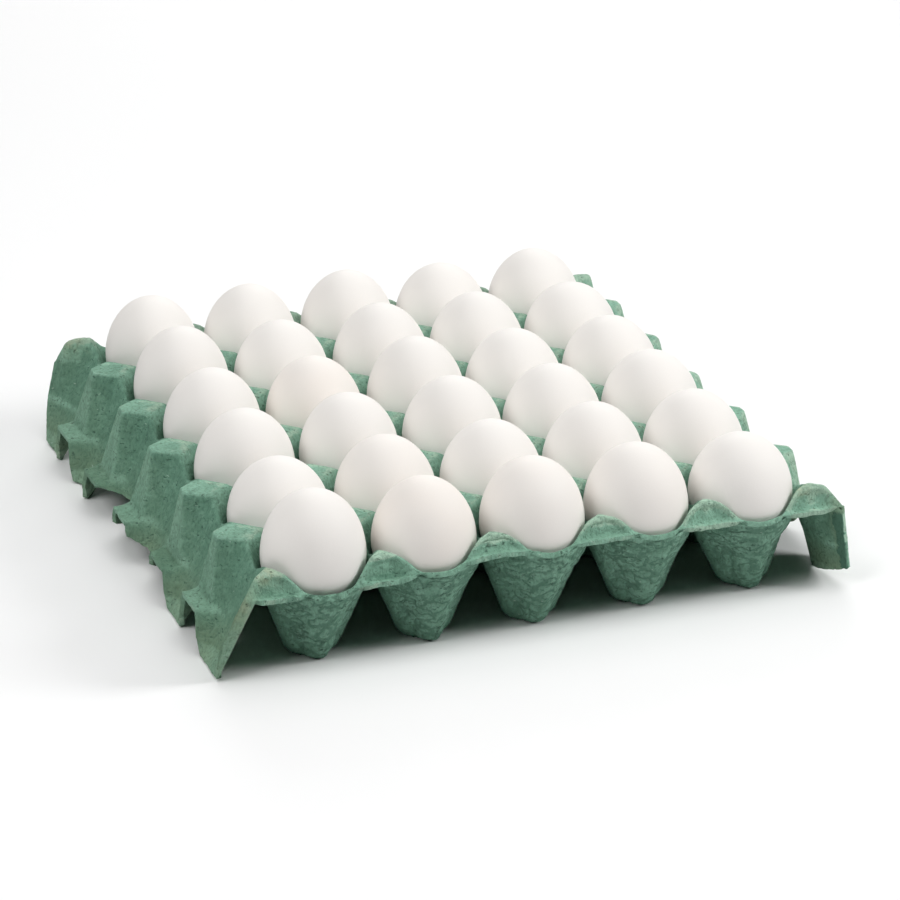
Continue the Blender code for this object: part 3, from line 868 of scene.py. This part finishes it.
def toneAt(point):
    x, y, z = point
    side = within("side", abs(x))
    atEnd = within("nearEnd", abs(y))
    rimGap = edgeY - abs(y)
    tone = towards(wearAndLightTone["plain"], "wallFace", side)
    # the narrow facet down each post is paler, partly rubbed and partly a painted sheen where it catches the
    # light
    tone = towards(tone, "narrowFacet", facetShare(point), within("aboveLedge", z))
    # the feet's lips along the side walls are paler, partly as painted light that their outward flare
    # catches from above
    tone = towards(tone, "lip", side, 1 - within("aboveFeet", z))
    # the gables are paler, partly their own colour and partly painted light that lifts them out of the shade
    # they lie in
    tone = towards(tone, "gable", atEnd, within("aboveRim", z))
    # painted shade in the crease behind the rim, along the front and back rows
    crease = toneLines["rimCreaseShade"]
    dark = crease["depth"] * atEnd * hump(rimGap, crease["gap"], crease["width"])
    tone -= dark * (1 - within("clearOfRim", z))
    tone = towards(tone, "frontCup", isFrontCup(point))
    fromGable = abs(x - (round(x / tray["pitchX"] + 0.5) - 0.5) * tray["pitchX"])
    bandTone = towards(wearAndLightTone["frontCup"], "band", 1 - within("besideGable", fromGable))
    tone += (bandTone - tone) * ((1 - within("behindBand", rimGap)) * within("bandHeight", z))
    # painted highlight along the top of each side ledge
    ledge = toneLines["ledge"]
    tone = towards(tone, "ledge", within("ledge", abs(x)), hump(z, ledge["height"], ledge["width"]))
    if onFlange(point):
        tone = wearAndLightTone["flange"]
    # painted shade on the torn edge of the front right flap
    torn = within("tornAcross", x) * (1 - within("behindTorn", y + edgeY)) * within("tornHeight", z)
    tone = towards(tone, "tornEdge", torn)
    # painted light: the right wall's posts are paler above, as they face the light from the right
    tone = towards(tone, "rightPost", within("rightPost", x), within("rightPostHeight", z),
                   within("pastFirstPost", y))
    # post tops and crests are paler, partly rubbed and partly a painted highlight on the tops
    tone = towards(tone, "postTop", within("top", z))
    tone = towards(tone, "crest", atEnd, within("crest", z))
    frontGable = within("frontGable", y) * within("aboveRim", z)
    tone += toneLines["rightGables"] * frontGable * within("rightHalf", x)
    # painted light: the right third of each front cup is paler, as light from the right falls on it
    return tone + toneLines["rightOfCups"] * isFrontCup(point) * within("cupRight", frontCupAngle(point))


markShares = {
    "ridgeRounds": 6, "ridgeGain": 0.55, "flatterFlanks": 0.85, "stain": 0.15, "stainLow": 0.55,
    "stainFront": 0.75, "coarseLeast": 0.25,
}

tanPatches = (  # place, size in mm, share
    ((postX - 4.5, -edgeY + 7.5, 49.8), 3.6, 1),
    ((-postX - 2, -edgeY + 6, 48.4), 5.5, 0.55),
    ((-postX - 10, edgeY - 8, 49.6), 7, 0.45),
    ((-postX - 18, -edgeY + 1, 38), 6, 0.45),
)


def stainAt(point):  # olive stains low on the side walls and at their front ends
    low = 1 - within("aboveDamp", point.z)
    frontEnd = 1 - within("behindFront", point.y)
    damp = (markShares["stain"] + markShares["stainLow"] * low) * within("belowTop", point.z)
    return within("wall", abs(point.x)) * max(damp, markShares["stainFront"] * frontEnd)


def tanAt(point):
    return sum(share * hump((point - Vector(place)).length, 0, size) for place, size, share in tanPatches)


def markLooks(bm):  # ridge is how far each point stands out of its smoothed surroundings, 0.5 being flat: the colour is paler where it stands out, partly as rubbing and partly as a painted highlight, and darker in hollows as painted shade
    layers = {name: bm.verts.layers.float.new(name) for name in ("ridge", "tone", "stain", "tan", "coarse")}
    before = {v: v.co.copy() for v in bm.verts}
    soften(bm, markShares["ridgeRounds"], lambda p: True)
    for v in bm.verts:
        out = (before[v] - v.co).dot(v.normal)
        v.co = before[v]
        offPost = within("offPost", abs(v.co.y - nearestPost(v.co.y)))
        onFlank = within("flank", abs(v.co.x)) * offPost
        ridge = 0.5 + out * markShares["ridgeGain"] * (1 - markShares["flatterFlanks"] * onFlank)
        v[layers["ridge"]] = min(max(ridge, 0.0), 1.0)
        v[layers["tone"]] = toneAt(v.co)
        v[layers["stain"]] = stainAt(v.co)
        v[layers["tan"]] = tanAt(v.co)
        v[layers["coarse"]] = max(isFrontCup(v.co), markShares["coarseLeast"])


dents = {  # depths in mm
    "flatten": 1.7,
    "broad": {"scale": 0.16, "depth": 0.16, "moreOnCups": 0.30},
    "fine": {"scale": 0.45, "depth": 0.10, "moreOnCups": 0.10},
    "crushed": {"scale": 0.33, "depth": 0.55, "sunk": 0.25, "angle": 4, "spread": 13, "fade": (40, 24)},
    "above": 3,  # the feet and the cups' floors stay flat
    "rim": {"scale": 0.6, "depth": (0.12, 0.12, 0.30)},
}


def crumple(point, scale, octaves=3):
    return noise.fractal(point * scale, 0.9, 2.1, octaves, noise_basis="PERLIN_ORIGINAL")


def dentAt(point):
    broad, fine, crushed = dents["broad"], dents["fine"], dents["crushed"]
    cup = isFrontCup(point)
    flattened = Vector((point.x, point.y, point.z * dents["flatten"]))
    depth = (broad["depth"] + broad["moreOnCups"] * cup) * crumple(flattened, broad["scale"])
    depth += (fine["depth"] + fine["moreOnCups"] * cup) * crumple(point, fine["scale"], 2)
    if cup > 0.01:  # the front corner of a cup is crushed into a rough ridge
        atCorner = hump(frontCupAngle(point), crushed["angle"], crushed["spread"])
        atCorner *= smoothStep(*crushed["fade"], point.z)
        depth += cup * atCorner * (crushed["depth"] * crumple(point, crushed["scale"]) - crushed["sunk"])
    return depth


def dentSheet(bm):
    moves = {v: v.normal * dentAt(v.co) for v in bm.verts}
    for v, move in moves.items():
        if v.co.z > dents["above"]:
            v.co += move


bm = makeSheet()
print("sheet", len(bm.faces), "faces, open and odd edges", openEdges(bm))
soften(bm, 1, lambda p: not isClose(p))
hugEggs(bm)
closeEdges = [e for e in bm.edges if any(isClose(f.calc_center_median()) for f in e.link_faces)]
bmesh.ops.subdivide_edges(bm, edges=closeEdges, cuts=1, use_grid_fill=True)
soften(bm, 2, isClose)
bm.normal_update()
markLooks(bm)
bm.normal_update()
dentSheet(bm)
print("sheet refined", len(bm.faces), "faces")

sheet = newObject("pulpTraySheet", bm, [pulpSheet, pulpCutEdge])
thick = sheet.modifiers.new("thickness", "SOLIDIFY")
thick.thickness = tray["wall"] * mm
thick.offset = -1.0
thick.use_quality_normals = True
thick.material_offset_rim = 1
solid = bpy.data.meshes.new_from_object(sheet.evaluated_get(bpy.context.evaluated_depsgraph_get()))
bpy.data.objects.remove(sheet)

bevel = {"offset": 0.55, "segments": 2}
flatFoot = 0.45  # what lies lower than this is brought down to the floor
tornStrip = {  # beside the front right flap's torn edge, which slopes outwards going down: pale along the edge, and behind it darker as painted shade
    "from": 136, "depth": 3.2, "uneven": 2, "scale": 0.25, "below": 38, "edge": 140,
    "edgeTop": 41, "slope": 0.165, "paleWidth": 1.9, "pale": 1, "dark": -0.2,
}
boxMargin = 0.02


def markTornStrip(v, toneLayer, stainLayer):
    strip = tornStrip
    reach = -edgeY + strip["depth"] + strip["uneven"] * crumple(v.co, strip["scale"], 2)
    if v.co.x > strip["from"] and v.co.y < reach and v.co.z < strip["below"]:
        pale = v.co.x > strip["edge"] + (strip["edgeTop"] - v.co.z) * strip["slope"] - strip["paleWidth"]
        # pale along the torn edge, painted shade behind it
        v[toneLayer] = strip["pale"] if pale else strip["dark"]
        v[stainLayer] = 0.0


def keepInBox(v):
    low, high = cadBox
    v.co.x = min(max(v.co.x, low.x / mm + boxMargin), high.x / mm - boxMargin)
    v.co.y = min(max(v.co.y, low.y / mm + boxMargin), high.y / mm - boxMargin)


bm = bmesh.new()
bm.from_mesh(solid)
bpy.data.meshes.remove(solid)
bmesh.ops.scale(bm, vec=(1 / mm, 1 / mm, 1 / mm), verts=bm.verts)
for v in bm.verts:
    if v.co.z < flatFoot:
        v.co.z = 0.0
bm.normal_update()
rimEdges = [e for e in bm.edges if len({f.material_index for f in e.link_faces}) == 2]
for v in {v for e in rimEdges for v in e.verts}:
    v.co += Vector(dents["rim"]["depth"]) * crumple(v.co, dents["rim"]["scale"], 2)
bmesh.ops.bevel(bm, geom=rimEdges, offset=bevel["offset"], offset_type="OFFSET", segments=bevel["segments"],
                profile=0.5, affect="EDGES", clamp_overlap=True, material=-1)
layers = bm.verts.layers.float
for v in bm.verts:
    v.co.z = max(v.co.z, 0.0)
    markTornStrip(v, layers["tone"], layers["stain"])
    keepInBox(v)
print("tray", len(bm.faces), "faces, open and odd edges", openEdges(bm))
pulpTray = newObject("pulpTray", bm, [pulpSheet, pulpCutEdge])
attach(pulpTray, "root")
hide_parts("tray")
print("tray built", sum(len(p.vertices) - 2 for p in pulpTray.data.polygons), "triangles")


eggLook = {
    "white": (0.84, 0.815, 0.785), "warm": (0.85, 0.79, 0.735), "speck": (0.25, 0.15, 0.08),
    "broad": (28.0, 2.0), "grain": (1500.0, 2.0, 0.5), "specks": 85.0, "roughness": 0.62, "specular": 0.25,
    "relief": (0.12, 0.0002),
}


def makeShell():
    look = eggLook
    material, tree, shader, coords = startMaterial("eggShell")
    broad = addNoise(tree, coords, *look["broad"])
    warmth = addProduct(tree, readAttribute(tree, "warmth"), addRamp(tree, broad, ((0.3, 0.5), (0.7, 1.0))))
    colour = addMix(tree, warmth, look["white"], look["warm"])
    specks = addRamp(tree, addVoronoi(tree, coords, look["specks"]), ((0.012, 0.8), (0.024, 0.0)))
    few = addProduct(tree, specks, addRamp(tree, broad, ((0.58, 0.0), (0.64, 0.6))))
    colour = addMix(tree, few, colour, look["speck"])
    finishMaterial(tree, shader, look, colour, addNoise(tree, coords, *look["grain"]))
    return material


egg = {
    "widest": -0.03,  # how far down the egg it is widest, from -1 at the top to 1 at the tip
    "slender": (0.49, 0.06),  # exponent of the upper half's outline, and how much it varies
    "taper": 0.30,
    "lean": {0: 1.3, 3: -1.3, 4: -2.3},  # degrees in X, by column
    "leanFront": {0: 0.0, 3: -1.6, 4: -0.8},
    "segments": 48,
    "rings": 32,
    "unevenWidth": 0.010,
    "hollows": {"depth": 0.12, "scale": 0.05},
    "wider": {2: 1.018, 3: 1.02, 4: 1.024},  # by column
    "warmth": 0.15,
    "warmEggs": {(1, 0): 0.9, (1, 3): 0.9, (1, 1): 0.5, (3, 0): 0.45, (2, 0): 0.5},
}
eggShell = makeShell()
dice = random.Random(7)


def widthShare(a, slender):  # radius of an egg along its length, a = -1 at the blunt top and 1 at the tip
    widest = egg["widest"]
    if a < widest:
        return max(0.0, 1 - ((widest - a) / (1 + widest)) ** 2) ** slender
    t = (a - widest) / (1 - widest)
    return math.sqrt(max(0.0, 1 - t * t)) * (1 - egg["taper"] * t * t)


def makeEgg(column, row, low, high):
    name = f"egg_{column + 1}_{row + 1}"
    half = (high.z - low.z) / 2 / mm
    radius = (high.x - low.x) / 2 / mm * egg["wider"].get(column, 1.0)
    bm = bmesh.new()
    warmth = bm.verts.layers.float.new("warmth")
    made = bmesh.ops.create_uvsphere(bm, u_segments=egg["segments"], v_segments=egg["rings"], radius=1.0)
    stretch = 1 - egg["unevenWidth"] * dice.random()
    narrow = 1 - egg["unevenWidth"] * dice.random()
    turn = dice.random() * math.pi
    slender = egg["slender"][0] + egg["slender"][1] * dice.random()
    lean = math.radians(egg["leanFront" if row == 0 else "lean"].get(column, 0.0))
    place = Vector((column * 9, row * 7, 0))  # so that each egg has its own hollows
    for v in made["verts"]:
        flat = math.hypot(v.co.x, v.co.y)
        grow = widthShare(-v.co.z, slender) * radius / flat if flat > 1e-6 else 0.0
        v[warmth] = egg["warmEggs"].get((column, row), egg["warmth"])
        v.co = Vector((v.co.x * grow * stretch, v.co.y * grow * narrow, half * v.co.z))
        hollow = abs(noise.noise(v.co * egg["hollows"]["scale"] + place))
        v.co += v.co.normalized() * -egg["hollows"]["depth"] * hollow
    bmesh.ops.rotate(bm, cent=(0, 0, 0), matrix=Matrix.Rotation(turn, 3, "Z"), verts=bm.verts)
    bmesh.ops.rotate(bm, cent=(0, 0, -half), matrix=Matrix.Rotation(lean, 3, "Y"), verts=bm.verts)
    bmesh.ops.translate(bm, vec=(*centreOf(column, row), low.z / mm + half), verts=bm.verts)
    shell = newObject("shell" + name[3:], bm, [eggShell])
    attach(shell, "root")
    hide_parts(name)


for (column, row), (low, high) in eggBoxes.items():
    makeEgg(column, row, low, high)
print("thirty eggs made")


studio = {
    "floor": (0.90, 0.90, 0.90), "floorRoughness": 0.9, "floorHalf": 6000, "world": 0.02,
    "aim": (0, 0, 0.03), "camera": (-0.5414, -1.3885, 0.6941), "turn": -21.6, "down": 24.05,
    "roll": 0.93, "lens": 140.3, "sensor": 36, "clip": (0.05, 50),
}

softBoxes = {  # place, size, watts
    "overhead": ((0.15, 0.35, 1.7), 2, 12),
    "forward": ((0, -0.5, 1.9), 1.4, 8),
    "left": ((-1.3, -0.5, 1.5), 1, 18),
    "right": ((1.4, -0.55, 0.9), 0.6, 17),
    "behind": ((0.5, 1.6, 0.9), 1, 11),
}


def addSoftBox(name, place, size, power):
    lamp = bpy.data.lights.new(name, "AREA")
    lamp.size = size
    lamp.energy = power
    obj = addObject(name, lamp)
    obj.location = place
    obj.rotation_mode = "QUATERNION"
    obj.rotation_quaternion = (Vector(studio["aim"]) - Vector(place)).to_track_quat("-Z", "Y")


bm = bmesh.new()
bmesh.ops.create_grid(bm, x_segments=1, y_segments=1, size=studio["floorHalf"])
paint, _, shader, _ = startMaterial("floorPaint")
shader.inputs["Base Color"].default_value = (*studio["floor"], 1.0)
shader.inputs["Roughness"].default_value = studio["floorRoughness"]
floor = newObject("floor", bm, [paint])

world = bpy.data.worlds.new("softRoom")
bpy.context.scene.world = world
world.use_nodes = True
background = world.node_tree.nodes["Background"]
background.inputs["Color"].default_value = (1.0, 1.0, 1.0, 1.0)
background.inputs["Strength"].default_value = studio["world"]
for name, (place, size, power) in softBoxes.items():
    addSoftBox(name, place, size, power)

lens = bpy.data.cameras.new("camera")
lens.lens = studio["lens"]
lens.sensor_width = studio["sensor"]
lens.clip_start, lens.clip_end = studio["clip"]
camera = addObject("camera", lens)
camera.matrix_world = (Matrix.Translation(studio["camera"])
                       @ Matrix.Rotation(math.radians(studio["turn"]), 4, "Z")
                       @ Matrix.Rotation(math.radians(90 - studio["down"]), 4, "X")
                       @ Matrix.Rotation(math.radians(studio["roll"]), 4, "Z"))
bpy.context.scene.camera = camera
bpy.context.scene.view_settings.view_transform = "Standard"
print("studio ready")
